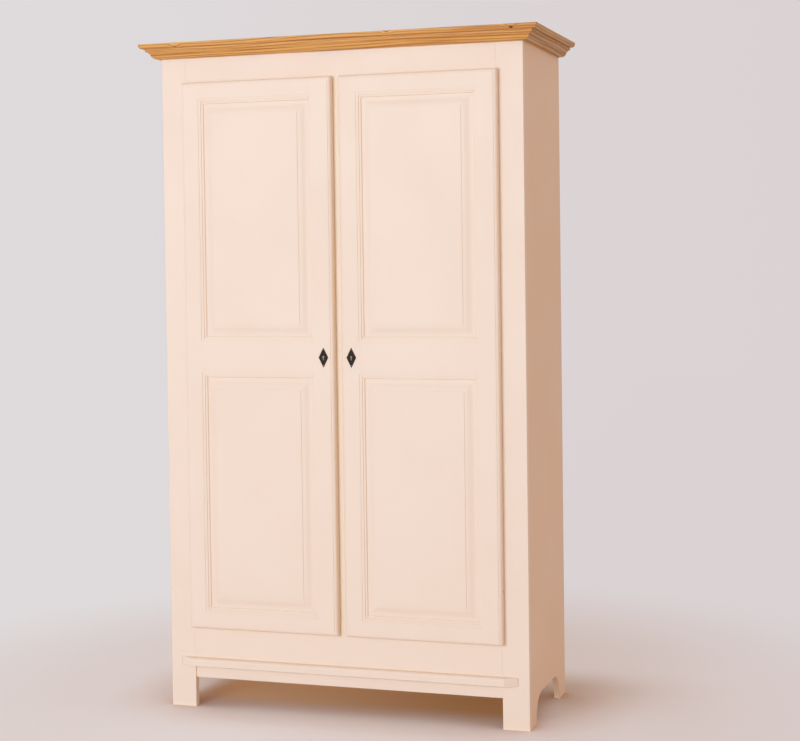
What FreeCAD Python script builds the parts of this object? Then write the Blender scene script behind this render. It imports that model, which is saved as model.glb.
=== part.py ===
import FreeCAD, Part
import math
import os
from FreeCAD import Vector

# A two-door wardrobe in painted pine with a waxed pine cornice, in millimetres.
# X runs to the right, Y from the front to the back and Z up from the floor.
# While it is built, the front of the face frame lies at Y zero. At the end everything moves
# along Y, so that the origin is on the floor under the middle of the whole box.

# Carcass
body_width = 1100
body_depth = 445
body_height = 1926
side_thickness = 16
frame_thickness = 20
front_stile_width = 78
stile_arris = 2
top_rail_width = 83
mullion_width = 40
housing_depth = 8
board_thickness = 18
base_tongue = 10
back_thickness = 12
back_board_count = 7
back_tongue_thickness = 4
back_tongue_length = 5
back_groove_play = 0.5
back_bevel = 2
tenon_length = 25
tenon_thickness = 8
tenon_shoulder = 12
tenon_play = 0.5
mullion_tenon_length = 14

# Feet, apron and the moulding above it
foot_depth = 78
side_arch_height = 80.5
side_arch_radius = 65
apron_bottom = 88
apron_setback = 4
apron_top = 128
plinth_bottom = 124
plinth_height = 25.5
plinth_projection = 18
plinth_nose_lap = 7
plinth_lap = 45
plinth_upper_round = 8
plinth_lower_round = 3

# Cornice, its profile as places out from the body and up from its underside
cornice_height = 41.5
cornice_overhang = 51
cornice_bearing = 20
cornice_foot_out = 12
cornice_ovolo_out = 23
cornice_ovolo_height = 8
cornice_cove_out = 34
cornice_cove_height = 20
cornice_fillet_out = 36
cornice_fillet_height = 27.5
cornice_step_out = 40
cornice_nose_height = 37
cornice_bow_share = 0.06

# Inside
hat_space_height = 288
hat_cleat_width = 20
hat_cleat_height = 25
hat_cleat_inset = 20
rail_diameter = 28
rail_drop = 66
rail_fit = 0.1
socket_plate = 4
socket_wall = 5
socket_reach = 16
socket_flange = 9

# Doors
door_gap = 22
door_overlay = 7
door_rail_overlay = 9
door_bottom = 240
door_thickness = 22
door_air = 2
door_stile_width = 62.5
door_top_rail = 58
door_lock_rail = 105.5
door_bottom_rail = 58
edge_step = 1.5
edge_flat = 1.5
edge_radius = 8.5
stick_step = 3.5
stick_flat = 4
stick_radius = 3.5
stick_land = 0.5
border_width = 8
border_step = 1.3
groove_depth = 9
panel_play = 2
panel_tongue = 6
panel_margin = 41
panel_field_drop = 0.5
panel_quirk = 1.5
panel_quirk_flat = 3
panel_ogee_width = 27

# Pivot hinges, let into the back of each door near its outer edge
hinge_from_end = 150
hinge_pivot_inset = 4.5
hinge_pivot_depth = 7
hinge_ear_radius = 4
hinge_pin_radius = 1.5
hinge_pin_fit = 0.05
hinge_plate = 2
hinge_plate_gap = 0.1
hinge_pocket_play = 0.4
hinge_arm_width = 5.5
hinge_arm_reach = 5
hinge_arm_clear = 0.4
hinge_flange_length = 40
hinge_flange_start = 1
hinge_flange_end = 19
hinge_tab_start = 10.5
hinge_tab_end = 34.5
hinge_tab_length = 28
hinge_tab_thickness = 1.5

# Locks, on the back of the doors, and the plates in front of the keyholes
keyhole_backset = 31.5
lock_case_width = 42
lock_case_height = 70
lock_case_thickness = 13
lock_case_corner = 4
lock_case_clearance = 4
bolt_depth = 6
bolt_thickness = 3.4
bolt_height = 14
bolt_length = 26
bolt_play = 0.25
bolt_throw = 9
strike_thickness = 1.5
strike_width = 10
strike_height = 50
strike_mortise_spare = 2
escutcheon_width = 29
escutcheon_height = 58
escutcheon_thickness = 1.6
escutcheon_bevel = 1.2
keyhole_radius = 2.8
keyhole_slot_width = 2.6
keyhole_slot_drop = 9
keyhole_lift = 2
keyhole_case_depth = 3

overrun = 5

# Planes and lines that follow from the sizes
half_width = body_width / 2
side_inner = half_width - side_thickness
stile_inner = half_width - front_stile_width
back_plane = body_depth - back_thickness
housing_x = side_inner + housing_depth
rail_bottom = body_height - top_rail_width
sill_top = door_bottom + door_rail_overlay
base_bottom = sill_top - board_thickness
top_board_bottom = body_height - board_thickness
hat_shelf_top = top_board_bottom - hat_space_height
hat_shelf_bottom = hat_shelf_top - board_thickness
door_outer = stile_inner + door_overlay
door_inner = door_gap / 2
door_top = rail_bottom + door_rail_overlay
door_height = door_top - door_bottom
door_back = -door_air
door_face = door_back - door_thickness
panel_height = (door_height - door_top_rail - door_lock_rail - door_bottom_rail) / 2
lower_opening_bottom = door_bottom + door_bottom_rail
lower_opening_top = lower_opening_bottom + panel_height
upper_opening_bottom = lower_opening_top + door_lock_rail
upper_opening_top = upper_opening_bottom + panel_height
opening_left = door_inner + door_stile_width
opening_right = door_outer - door_stile_width
stick_width = stick_flat + stick_radius
stick_depth = stick_step + stick_radius + stick_land
pivot_x = door_outer - hinge_pivot_inset
pivot_y = door_back - hinge_pivot_depth
hinge_heights = [door_bottom + hinge_from_end, door_top - hinge_from_end]
keyhole_x = door_inner + keyhole_backset
lock_height = lower_opening_top + door_lock_rail / 2
case_left = mullion_width / 2 + lock_case_clearance
strike_mortise_depth = bolt_throw - lock_case_clearance + strike_mortise_spare

parts = {}


def plan(x, y):
    return Vector(x, y, 0)


def side(y, z):
    return Vector(0, y, z)


def front(x, z):
    return Vector(x, 0, z)


def block(x0, x1, y0, y1, z0, z1):
    return Part.makeBox(x1 - x0, y1 - y0, z1 - z0, Vector(x0, y0, z0))


def about(centre, start, end):
    # the arc from start to end around centre, as its middle and its end
    a = (start[0] + end[0]) / 2 - centre[0]
    b = (start[1] + end[1]) / 2 - centre[1]
    reach = math.hypot(start[0] - centre[0], start[1] - centre[1]) / math.hypot(a, b)
    return (centre[0] + a * reach, centre[1] + b * reach, end[0], end[1])


def bow(start, end, sag):
    # a flat arc from start to end whose middle stands off its chord, to the left for a plus sag
    da = end[0] - start[0]
    db = end[1] - start[1]
    chord = math.hypot(da, db)
    a = (start[0] + end[0]) / 2 - db / chord * sag
    b = (start[1] + end[1]) / 2 + da / chord * sag
    return (a, b, end[0], end[1])


def outline(path, lift):
    # a closed wire: a pair is a straight run, four values are an arc's middle and its end
    edges = []
    here = path[0]
    for step in path[1:] + path[:1]:
        end = step[-2:]
        if len(step) > 2:
            edges.append(Part.Arc(lift(*here), lift(*step[:2]), lift(*end)).toShape())
        elif end != here:
            edges.append(Part.LineSegment(lift(*here), lift(*end)).toShape())
        here = end
    return Part.Wire(edges)


def prism(path, lift, start, run):
    shape = Part.Face(outline(path, lift)).extrude(run)
    shape.translate(start)
    return shape


def mirrored(shape):
    return shape.mirror(Vector(0, 0, 0), Vector(1, 0, 0))


def add(name, shape):
    parts[name] = shape


def add_pair(name, shape):
    # the right-hand piece as built, and the left-hand one as its mirror image
    add("right_" + name, shape)
    add("left_" + name, mirrored(shape))


def side_panel():
    # one board to the floor, cut out below between a front and a rear foot
    rear = body_depth - foot_depth
    spring = side_arch_height - side_arch_radius
    front_spring = (foot_depth, spring)
    front_crown = (foot_depth + side_arch_radius, side_arch_height)
    rear_crown = (rear - side_arch_radius, side_arch_height)
    rear_spring = (rear, spring)
    path = [
        (frame_thickness, 0),
        (foot_depth, 0),
        front_spring,
        about((front_crown[0], spring), front_spring, front_crown),
        rear_crown,
        about((rear_crown[0], spring), rear_crown, rear_spring),
        (rear, 0),
        (body_depth, 0),
        (body_depth, body_height),
        (frame_thickness, body_height),
    ]
    panel = prism(path, side, Vector(side_inner, 0, 0), Vector(side_thickness, 0, 0))
    x0 = side_inner - overrun
    z1 = body_height + overrun
    # the rebates for the back and for the top board, and the groove for the base board
    panel = panel.cut(block(x0, housing_x, back_plane, body_depth + overrun, base_bottom, z1))
    panel = panel.cut(block(x0, housing_x, frame_thickness, back_plane, top_board_bottom, z1))
    return panel.cut(base_groove(x0))


def base_groove(x0):
    # holds the tongue along the lower half of the base board's end
    z1 = base_bottom + base_tongue
    return block(x0, housing_x, frame_thickness, back_plane, base_bottom, z1)


def base_board():
    board = block(-side_inner, side_inner, frame_thickness, back_plane, base_bottom, sill_top)
    tongue = base_groove(side_inner - overrun)
    return board.fuse(tongue).fuse(mirrored(tongue)).removeSplitter()


def rail_tenon(z0, z1, play):
    y0 = (frame_thickness - tenon_thickness) / 2
    x1 = stile_inner + tenon_length + play
    low = z0 + tenon_shoulder - play
    high = z1 - tenon_shoulder + play
    return block(stile_inner - overrun, x1, y0, y0 + tenon_thickness, low, high)


def front_stile():
    # its outer front arris is rounded
    round_start = (half_width - stile_arris, 0)
    round_end = (half_width, stile_arris)
    path = [
        (stile_inner, 0),
        round_start,
        about((round_start[0], round_end[1]), round_start, round_end),
        (half_width, frame_thickness),
        (stile_inner, frame_thickness),
    ]
    stile = prism(path, plan, Vector(0, 0, 0), Vector(0, 0, body_height))
    for z0, z1 in [(rail_bottom, body_height), (apron_top, sill_top)]:
        stile = stile.cut(rail_tenon(z0, z1, tenon_play))
    return stile


def mullion_tenon(play):
    y0 = (frame_thickness - tenon_thickness) / 2
    x1 = mullion_width / 2 - tenon_shoulder + play
    z0 = sill_top - mullion_tenon_length - play
    z1 = rail_bottom + mullion_tenon_length + play
    return block(-x1, x1, y0, y0 + tenon_thickness, z0, z1)


def front_rail(z0, z1):
    rail = block(-stile_inner, stile_inner, 0, frame_thickness, z0, z1)
    tenon = rail_tenon(z0, z1, 0)
    rail = rail.fuse(tenon).fuse(mirrored(tenon)).removeSplitter()
    return rail.cut(mullion_tenon(tenon_play))


def strike_recess():
    x1 = mullion_width / 2
    y0 = bolt_depth - strike_width / 2
    z0 = lock_height - strike_height / 2
    return block(x1 - strike_thickness, x1, y0, y0 + strike_width, z0, z0 + strike_height)


def bolt_mortise():
    x1 = mullion_width / 2 + overrun
    x0 = mullion_width / 2 - strike_mortise_depth
    half_y = bolt_thickness / 2 + bolt_play
    half_z = bolt_height / 2 + bolt_play
    y0 = bolt_depth - half_y
    return block(x0, x1, y0, bolt_depth + half_y, lock_height - half_z, lock_height + half_z)


def centre_mullion():
    half = mullion_width / 2
    post = block(-half, half, 0, frame_thickness, sill_top, rail_bottom)
    post = post.fuse(mullion_tenon(0)).removeSplitter()
    for cutter in [strike_recess(), bolt_mortise()]:
        post = post.cut(cutter).cut(mirrored(cutter))
    return post


def plinth_profile():
    # a thick board on edge, its upper front arris well rounded and the lower one a little
    top = plinth_bottom + plinth_height
    nose = -plinth_projection
    upper = (nose + plinth_upper_round, top)
    upper_end = (nose, top - plinth_upper_round)
    lower = (nose, plinth_bottom + plinth_lower_round)
    lower_end = (nose + plinth_lower_round, plinth_bottom)
    return [
        (0, plinth_bottom),
        (0, top),
        upper,
        about((upper[0], upper_end[1]), upper, upper_end),
        lower,
        about((lower_end[0], lower[1]), lower, lower_end),
    ]


def plinth_moulding():
    # it runs on over the stiles, and its ends are cut back to them at a flat angle
    reach = stile_inner + plinth_lap
    nose = stile_inner + plinth_nose_lap
    moulding = prism(plinth_profile(), side, Vector(-reach, 0, 0), Vector(2 * reach, 0, 0))
    path = [(-reach, 0), (-nose, -plinth_projection), (nose, -plinth_projection), (reach, 0)]
    start = Vector(0, 0, plinth_bottom)
    return moulding.common(prism(path, plan, start, Vector(0, 0, plinth_height)))


def cornice_profile():
    # out from the body and up: a small ovolo, a cove, a fillet and a rounded nose
    ovolo_start = (cornice_foot_out, 0)
    ovolo_end = (cornice_ovolo_out, cornice_ovolo_height)
    cove_end = (cornice_cove_out, cornice_cove_height)
    nose_start = (cornice_step_out, cornice_fillet_height)
    nose_end = (cornice_overhang, cornice_nose_height)
    return [
        (-cornice_bearing, 0),
        ovolo_start,
        bow(ovolo_start, ovolo_end, -cornice_bow_share * cornice_ovolo_out),
        bow(ovolo_end, cove_end, cornice_bow_share * cornice_cove_out),
        (cornice_fillet_out, cornice_cove_height),
        (cornice_fillet_out, cornice_fillet_height),
        nose_start,
        bow(nose_start, nose_end, -cornice_bow_share * cornice_overhang),
        (cornice_overhang, cornice_height),
        (-cornice_bearing, cornice_height),
    ]


def mitre_wedge():
    # everything that lies on the front moulding's side of the two mitres
    over = cornice_overhang + overrun
    under = cornice_bearing + overrun
    reach = half_width + over
    tip = half_width - under
    path = [(-reach, -over), (reach, -over), (tip, under), (-tip, under)]
    z0 = body_height - overrun
    return prism(path, plan, Vector(0, 0, z0), Vector(0, 0, cornice_height + 2 * overrun))


def cornice():
    wedge = mitre_wedge()
    reach = half_width + cornice_overhang
    ahead = [outward(step) for step in cornice_profile()]
    run = Vector(2 * reach, 0, 0)
    front_piece = prism(ahead, side, Vector(-reach, 0, body_height), run).common(wedge)
    start = Vector(half_width, -cornice_overhang, body_height)
    run = Vector(0, cornice_overhang + body_depth, 0)
    return front_piece, prism(cornice_profile(), front, start, run).cut(wedge)


def outward(step):
    # the cornice's profile turned to face the front
    if len(step) > 2:
        return (-step[0], step[1], -step[2], step[3])
    return (-step[0], step[1])


def back_board(index):
    # matched boards: a tongue on the right edge, a groove in the left, a bevel at each joint
    width = 2 * housing_x / back_board_count
    x0 = -housing_x + index * width
    x1 = x0 + width
    y0 = back_plane + (back_thickness - back_tongue_thickness) / 2
    y1 = y0 + back_tongue_thickness
    left = [(x0, body_depth), (x0, back_plane)]
    right = [(x1, back_plane), (x1, body_depth)]
    if index > 0:
        mouth = x0 + back_tongue_length + back_groove_play
        left = [(x0 + back_bevel, body_depth), (x0, body_depth - back_bevel), (x0, y1)]
        left += [(mouth, y1), (mouth, y0), (x0, y0)]
        left += [(x0, back_plane + back_bevel), (x0 + back_bevel, back_plane)]
    if index < back_board_count - 1:
        tip = x1 + back_tongue_length
        right = [(x1 - back_bevel, back_plane), (x1, back_plane + back_bevel), (x1, y0)]
        right += [(tip, y0), (tip, y1), (x1, y1)]
        right += [(x1, body_depth - back_bevel), (x1 - back_bevel, body_depth)]
    run = Vector(0, 0, body_height - base_bottom)
    return prism(left + right, plan, Vector(0, 0, base_bottom), run)


def hat_cleat():
    x0 = side_inner - hat_cleat_width
    y0 = frame_thickness + hat_cleat_inset
    y1 = back_plane - hat_cleat_inset
    z0 = hat_shelf_bottom - hat_cleat_height
    return block(x0, side_inner, y0, y1, z0, hat_shelf_bottom)


def rail_centre():
    return (frame_thickness + back_plane) / 2, hat_shelf_bottom - rail_drop


def hanging_rail():
    y, z = rail_centre()
    half = side_inner - socket_plate
    return Part.makeCylinder(rail_diameter / 2, 2 * half, Vector(-half, y, z), Vector(1, 0, 0))


def rail_socket():
    # a round flange on the side panel with a cup for the end of the rail
    y, z = rail_centre()
    bore = rail_diameter / 2 + rail_fit
    cup = bore + socket_wall
    along = Vector(-1, 0, 0)
    at = Vector(side_inner, y, z)
    seat = Vector(side_inner - socket_plate, y, z)
    socket = Part.makeCylinder(cup + socket_flange, socket_plate, at, along)
    socket = socket.fuse(Part.makeCylinder(cup, socket_plate + socket_reach, at, along))
    return socket.removeSplitter().cut(Part.makeCylinder(bore, socket_reach, seat, along))


def moulded_edges(low, high):
    # a board's section with the stepped quarter round along both of its outer edges
    shoulder = door_face + edge_step
    foot = shoulder + edge_radius
    width = edge_flat + edge_radius
    return [
        (low + width, door_face),
        (high - width, door_face),
        (high - width, shoulder),
        (high - edge_radius, shoulder),
        about((high - edge_radius, foot), (high - edge_radius, shoulder), (high, foot)),
        (high, door_back),
        (low, door_back),
        (low, foot),
        about((low + edge_radius, foot), (low, foot), (low + edge_radius, shoulder)),
        (low + width, shoulder),
    ]


def door_blank():
    upright = prism(
        moulded_edges(door_inner, door_outer), plan,
        Vector(0, 0, door_bottom), Vector(0, 0, door_height))
    across = prism(
        moulded_edges(door_bottom, door_top), lying,
        Vector(door_inner, 0, 0), Vector(door_outer - door_inner, 0, 0))
    return upright.common(across)


def lying(z, y):
    return Vector(0, y, z)


def stuck_edge(arris, inward):
    # the moulded inner edge of a stile or rail, from its face round the groove to its back
    step = door_face + stick_step
    start = (arris + inward * stick_flat, step)
    end = (arris + inward * stick_width, step + stick_radius)
    groove = arris + inward * (stick_width - groove_depth)
    groove_front = door_face + stick_depth
    groove_back = groove_front + panel_tongue
    return [
        (arris, door_face),
        (arris, step),
        start,
        about((start[0], end[1]), start, end),
        (end[0], groove_front),
        (groove, groove_front),
        (groove, groove_back),
        (end[0], groove_back),
        (end[0], door_back),
    ]


def edge_member(arris, inward):
    # a stile or an outer rail, run on past the door's edge, where the blank trims it
    beyond = arris - inward * (front_stile_width + overrun)
    return stuck_edge(arris, inward) + [(beyond, door_back), (beyond, door_face)]


def backward(path):
    # the same outline walked the other way, for the second edge of the lock rail
    turned = []
    for index in range(len(path) - 1, -1, -1):
        end = path[index][-2:]
        after = path[index + 1] if index + 1 < len(path) else end
        turned.append(after[:2] + end if len(after) > 2 else end)
    return turned


def border_cut(z0, z1):
    # sinks the faces of the stiles and rails a little in a border round an opening
    low = opening_left - border_width
    high = opening_right + border_width
    y0 = door_face - overrun
    return block(low, high, y0, door_face + border_step, z0 - border_width, z1 + border_width)


def bordered(member):
    for z0, z1 in [(lower_opening_bottom, lower_opening_top), (upper_opening_bottom, upper_opening_top)]:
        member = member.cut(border_cut(z0, z1))
    return member


def door_stile(blank, arris, inward):
    run = Vector(0, 0, door_height)
    return prism(edge_member(arris, inward), plan, Vector(0, 0, door_bottom), run).common(blank)


def door_rail(blank, path, stiles):
    run = Vector(door_outer - door_inner, 0, 0)
    rail = prism(path, lying, Vector(door_inner, 0, 0), run).common(blank)
    for stile in stiles:
        rail = rail.cut(stile)
    return rail


def panel_section(low, high):
    # a raised field, a quirk, an ogee down to the flat and a tongue for the groove
    tongue = stick_width - groove_depth + panel_play
    field = door_face + panel_field_drop
    start = field + panel_quirk
    flat = door_face + stick_depth
    rise = (flat - start) / 2
    reach = panel_ogee_width / 2
    sag = math.hypot(reach, rise) / 2 * math.tan(math.atan2(rise, reach) / 2)
    path = [(low + panel_margin, field), (high - panel_margin, field)]
    for edge, turn in [(high, 1), (low, -1)]:
        crest = (edge - turn * (panel_margin - panel_quirk_flat), start)
        middle = (crest[0] + turn * reach, start + rise)
        foot = (middle[0] + turn * reach, flat)
        tip = (edge - turn * tongue, flat)
        run = [(edge - turn * panel_margin, start), crest, bow(crest, middle, -turn * sag)]
        run += [bow(middle, foot, turn * sag), tip, (tip[0], flat + panel_tongue)]
        path += run if turn > 0 else backward(run)
    return path


def raised_panel(z0, z1):
    width = opening_right - opening_left
    upright = prism(
        panel_section(opening_left, opening_right), plan, Vector(0, 0, z0), Vector(0, 0, z1 - z0))
    across = prism(
        panel_section(z0, z1), lying, Vector(opening_left, 0, 0), Vector(width, 0, 0))
    return upright.common(across)


def keyhole(y0, y1, play):
    # a round hole with a slot below it, along Y
    top = lock_height + keyhole_lift
    half = keyhole_slot_width / 2 + play
    at = Vector(keyhole_x, y0, top)
    hole = Part.makeCylinder(keyhole_radius + play, y1 - y0, at, Vector(0, 1, 0))
    slot = block(keyhole_x - half, keyhole_x + half, y0, y1, top - keyhole_slot_drop - play, top)
    return hole.fuse(slot).removeSplitter()


def hinge_levels(z):
    # the frame leaf's ear from z up, and the door leaf's plate from above upwards
    above = z + hinge_plate + hinge_plate_gap
    return above, above + hinge_plate


def hinge_pocket(z):
    # cut from the back of the hinge stile: room for the ear to turn in, and the plate's kerf
    above, top = hinge_levels(z)
    x0 = pivot_x - hinge_tab_start
    y0 = pivot_y - hinge_ear_radius
    x1 = door_outer + overrun
    y1 = door_back + overrun
    room = block(x0, x1, y0 - hinge_pocket_play, y1, z - hinge_pocket_play, top)
    return room.fuse(block(pivot_x - hinge_tab_end, x0, y0, y1, above, top))


def pin_hole(z, radius):
    above, top = hinge_levels(z)
    low = z - hinge_pocket_play
    return Part.makeCylinder(radius, top - low, Vector(pivot_x, pivot_y, low), Vector(0, 0, 1))


def frame_leaf(z):
    # a flange on the inner edge of the front stile, with a cranked ear that reaches forward
    x0 = stile_inner - hinge_arm_width
    path = [
        (pivot_x - hinge_ear_radius, pivot_y),
        (x0, door_back),
        (x0, hinge_arm_reach),
        (stile_inner, hinge_arm_reach),
        (stile_inner, -hinge_arm_clear),
        (pivot_x + hinge_ear_radius, pivot_y),
    ]
    ear = prism(path, plan, Vector(0, 0, z), Vector(0, 0, hinge_plate))
    at = Vector(pivot_x, pivot_y, z)
    ear = ear.fuse(Part.makeCylinder(hinge_ear_radius, hinge_plate, at, Vector(0, 0, 1)))
    low = z - hinge_flange_length / 2
    flange = block(
        stile_inner - hinge_plate, stile_inner, hinge_flange_start, hinge_flange_end,
        low, low + hinge_flange_length)
    return ear.fuse(flange).removeSplitter().cut(pin_hole(z, hinge_pin_radius + hinge_pin_fit))


def door_leaf(z):
    # a plate in the kerf above the ear, with a tab on the back of the stile
    above, top = hinge_levels(z)
    x0 = pivot_x - hinge_tab_end
    x1 = pivot_x - hinge_tab_start
    y0 = pivot_y - hinge_ear_radius
    y1 = door_back + hinge_tab_thickness
    plate = block(x0, pivot_x, y0, pivot_y + hinge_ear_radius, above, top)
    plate = plate.fuse(block(x0, x1, y0, y1, above, top))
    at = Vector(pivot_x, pivot_y, above)
    plate = plate.fuse(Part.makeCylinder(hinge_ear_radius, hinge_plate, at, Vector(0, 0, 1)))
    low = (above + top - hinge_tab_length) / 2
    plate = plate.fuse(block(x0, x1, door_back, y1, low, low + hinge_tab_length))
    return plate.removeSplitter().cut(pin_hole(z, hinge_pin_radius))


def lock_case():
    # a flat box with rounded corners on the back of the lock stile, with a channel for the bolt
    z0 = lock_height - lock_case_height / 2
    case = block(
        case_left, case_left + lock_case_width, door_back, door_back + lock_case_thickness,
        z0, z0 + lock_case_height)
    corners = [edge for edge in case.Edges if edge.BoundBox.YLength > edge.BoundBox.DiagonalLength / 2]
    case = case.makeFillet(lock_case_corner, corners)
    half_y = bolt_thickness / 2 + bolt_play
    half_z = bolt_height / 2 + bolt_play
    channel = block(
        case_left - overrun, case_left + bolt_length + bolt_play,
        bolt_depth - half_y, bolt_depth + half_y, lock_height - half_z, lock_height + half_z)
    return case.cut(channel).cut(keyhole(door_back, door_back + keyhole_case_depth, 0))


def lock_bolt():
    half_y = bolt_thickness / 2
    half_z = bolt_height / 2
    return block(
        case_left, case_left + bolt_length, bolt_depth - half_y, bolt_depth + half_y,
        lock_height - half_z, lock_height + half_z)


def diamond(inset, y):
    a = escutcheon_width / 2 - inset
    b = a * escutcheon_height / escutcheon_width
    path = [(keyhole_x - a, lock_height), (keyhole_x, lock_height - b)]
    path += [(keyhole_x + a, lock_height), (keyhole_x, lock_height + b)]
    wire = outline(path, front)
    wire.translate(Vector(0, y, 0))
    return wire


def escutcheon():
    # a diamond plate with a bevelled rim, pierced by the keyhole
    edge = door_face - escutcheon_thickness / 2
    crown = door_face - escutcheon_thickness
    plate = Part.Face(diamond(0, door_face)).extrude(Vector(0, edge - door_face, 0))
    rim = Part.makeLoft([diamond(0, edge), diamond(escutcheon_bevel, crown)], True)
    plate = plate.fuse(rim).removeSplitter()
    return plate.cut(keyhole(crown - overrun, door_face, 0))


def strike_plate():
    return strike_recess().cut(bolt_mortise())


def build_carcass():
    add_pair("side_panel", side_panel())
    add_pair("front_stile", front_stile())
    add("top_front_rail", front_rail(rail_bottom, body_height))
    add("bottom_front_rail", front_rail(apron_top, sill_top))
    add("apron_board", block(
        -stile_inner, stile_inner, apron_setback, frame_thickness, apron_bottom, apron_top))
    add("centre_mullion", centre_mullion())
    add("plinth_moulding", plinth_moulding())
    add("base_board", base_board())
    add("top_board", block(
        -housing_x, housing_x, frame_thickness, back_plane, top_board_bottom, body_height))
    for index in range(back_board_count):
        add("back_board_%d" % (index + 1), back_board(index))
    front_piece, return_piece = cornice()
    add("cornice_front", front_piece)
    add_pair("cornice_return", return_piece)
    for index, level in enumerate(["lower", "upper"]):
        add_pair("%s_frame_leaf" % level, frame_leaf(hinge_heights[index]))
    add_pair("strike_plate", strike_plate())


def build_inside():
    add("hat_shelf", block(
        -side_inner, side_inner, frame_thickness, back_plane, hat_shelf_bottom, hat_shelf_top))
    add_pair("hat_shelf_cleat", hat_cleat())
    add("hanging_rail", hanging_rail())
    add_pair("rail_socket", rail_socket())


def build_doors():
    blank = door_blank()
    lock_stile = door_stile(blank, opening_left, 1)
    hinge_stile = door_stile(blank, opening_right, -1)
    stiles = [lock_stile, hinge_stile]
    lock_rail = stuck_edge(upper_opening_bottom, 1) + backward(stuck_edge(lower_opening_top, -1))
    add_pair("door_top_rail", bordered(door_rail(blank, edge_member(upper_opening_top, -1), stiles)))
    add_pair("door_lock_rail", bordered(door_rail(blank, lock_rail, stiles)))
    add_pair("door_bottom_rail", bordered(door_rail(blank, edge_member(lower_opening_bottom, 1), stiles)))
    add_pair("door_lower_panel", raised_panel(lower_opening_bottom, lower_opening_top))
    add_pair("door_upper_panel", raised_panel(upper_opening_bottom, upper_opening_top))
    for z in hinge_heights:
        hinge_stile = hinge_stile.cut(hinge_pocket(z))
    lock_stile = lock_stile.cut(keyhole(door_face - overrun, door_back + overrun, bolt_play))
    add_pair("door_hinge_stile", bordered(hinge_stile))
    add_pair("door_lock_stile", bordered(lock_stile))
    for index, level in enumerate(["lower", "upper"]):
        add_pair("%s_door_leaf" % level, door_leaf(hinge_heights[index]))
    pins = [pin_hole(z, hinge_pin_radius) for z in hinge_heights]
    add_pair("door_hinge_pins", Part.makeCompound(pins))
    add_pair("lock_case", lock_case())
    add_pair("lock_bolt", lock_bolt())
    add_pair("escutcheon", escutcheon())


build_carcass()
build_inside()
build_doors()
os.makedirs("parts", exist_ok=True)
middle = (body_depth - cornice_overhang) / 2
for name, shape in sorted(parts.items()):
    shape = shape.copy()
    shape.translate(Vector(0, -middle, 0))
    if not shape.isValid() or shape.Volume <= 0:
        raise ValueError("bad shape: " + name)
    shape.exportStep("parts/%s.step" % name)
print(len(parts), "nodes")
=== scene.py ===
import bpy
import bmesh
import math
import random
from mathutils import Matrix, Vector


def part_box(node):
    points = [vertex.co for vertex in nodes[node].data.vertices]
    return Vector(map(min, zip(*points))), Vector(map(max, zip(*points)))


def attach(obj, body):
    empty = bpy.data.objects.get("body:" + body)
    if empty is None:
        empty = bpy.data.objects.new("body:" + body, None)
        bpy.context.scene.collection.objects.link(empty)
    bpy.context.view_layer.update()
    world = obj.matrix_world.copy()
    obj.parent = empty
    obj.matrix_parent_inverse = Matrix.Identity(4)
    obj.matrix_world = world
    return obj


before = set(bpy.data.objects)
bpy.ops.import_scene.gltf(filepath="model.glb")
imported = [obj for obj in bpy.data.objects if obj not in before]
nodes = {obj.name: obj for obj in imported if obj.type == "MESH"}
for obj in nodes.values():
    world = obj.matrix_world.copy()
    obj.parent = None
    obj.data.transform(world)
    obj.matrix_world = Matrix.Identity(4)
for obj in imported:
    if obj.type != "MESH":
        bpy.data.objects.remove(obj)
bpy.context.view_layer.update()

world = bpy.context.scene.world or bpy.data.worlds.new("studio")
bpy.context.scene.world = world
random.seed(11)

# The wardrobe stands on the floor at Z zero and faces minus Y. All lengths are in metres.
backBoardCount = 7


def startMaterial(name):
    material = bpy.data.materials.new(name)
    material.use_nodes = True
    material.node_tree.nodes.clear()
    return material, material.node_tree


def addNode(tree, kind, inputs=None, **settings):
    node = tree.nodes.new(kind)
    for key, value in settings.items():
        setattr(node, key, value)
    for key, value in (inputs or {}).items():
        if isinstance(value, bpy.types.NodeSocket):
            tree.links.new(value, node.inputs[key])
        else:
            node.inputs[key].default_value = value
    return node


def maths(tree, operation, first, second=None):
    inputs = {0: first}
    if second is not None:
        inputs[1] = second
    return addNode(tree, "ShaderNodeMath", inputs, operation=operation).outputs[0]


def vectorMaths(tree, operation, first, second=None):
    inputs = {0: first}
    if second is not None:
        inputs[1] = second
    return addNode(tree, "ShaderNodeVectorMath", inputs, operation=operation)


def spread(tree, value, low, high, toLow=0.0, toHigh=1.0):
    # stretches low..high to toLow..toHigh with soft ends
    inputs = {"Value": value, "From Min": low, "From Max": high, "To Min": toLow, "To Max": toHigh}
    node = addNode(tree, "ShaderNodeMapRange", inputs, interpolation_type="SMOOTHSTEP")
    return node.outputs["Result"]


def mixColour(tree, factor, first, second, blend="MIX"):
    # the colours of a mix node are its inputs 6 and 7 and its output 2
    inputs = {0: factor, 6: first, 7: second}
    node = addNode(tree, "ShaderNodeMix", inputs, data_type="RGBA", blend_type=blend)
    return node.outputs[2]


def tinted(tree, tone, noise, limits, tint, colour):
    # the colour comes in, up to the share tint, where the noise is high
    return mixColour(tree, spread(tree, noise, *limits, 0.0, tint), tone, colour)


def noiseAt(tree, vector, scale, detail=3.0, roughness=0.5, distortion=0.0):
    inputs = {
        "Vector": vector,
        "Scale": scale,
        "Detail": detail,
        "Roughness": roughness,
        "Distortion": distortion,
    }
    return addNode(tree, "ShaderNodeTexNoise", inputs).outputs["Fac"]


def stretched(tree, vector, factors):
    return vectorMaths(tree, "MULTIPLY", vector, factors).outputs[0]


def grainNoise(tree, space, factors, **settings):
    # noise drawn out along the grain
    return noiseAt(tree, stretched(tree, space, factors), 1.0, **settings)


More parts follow.
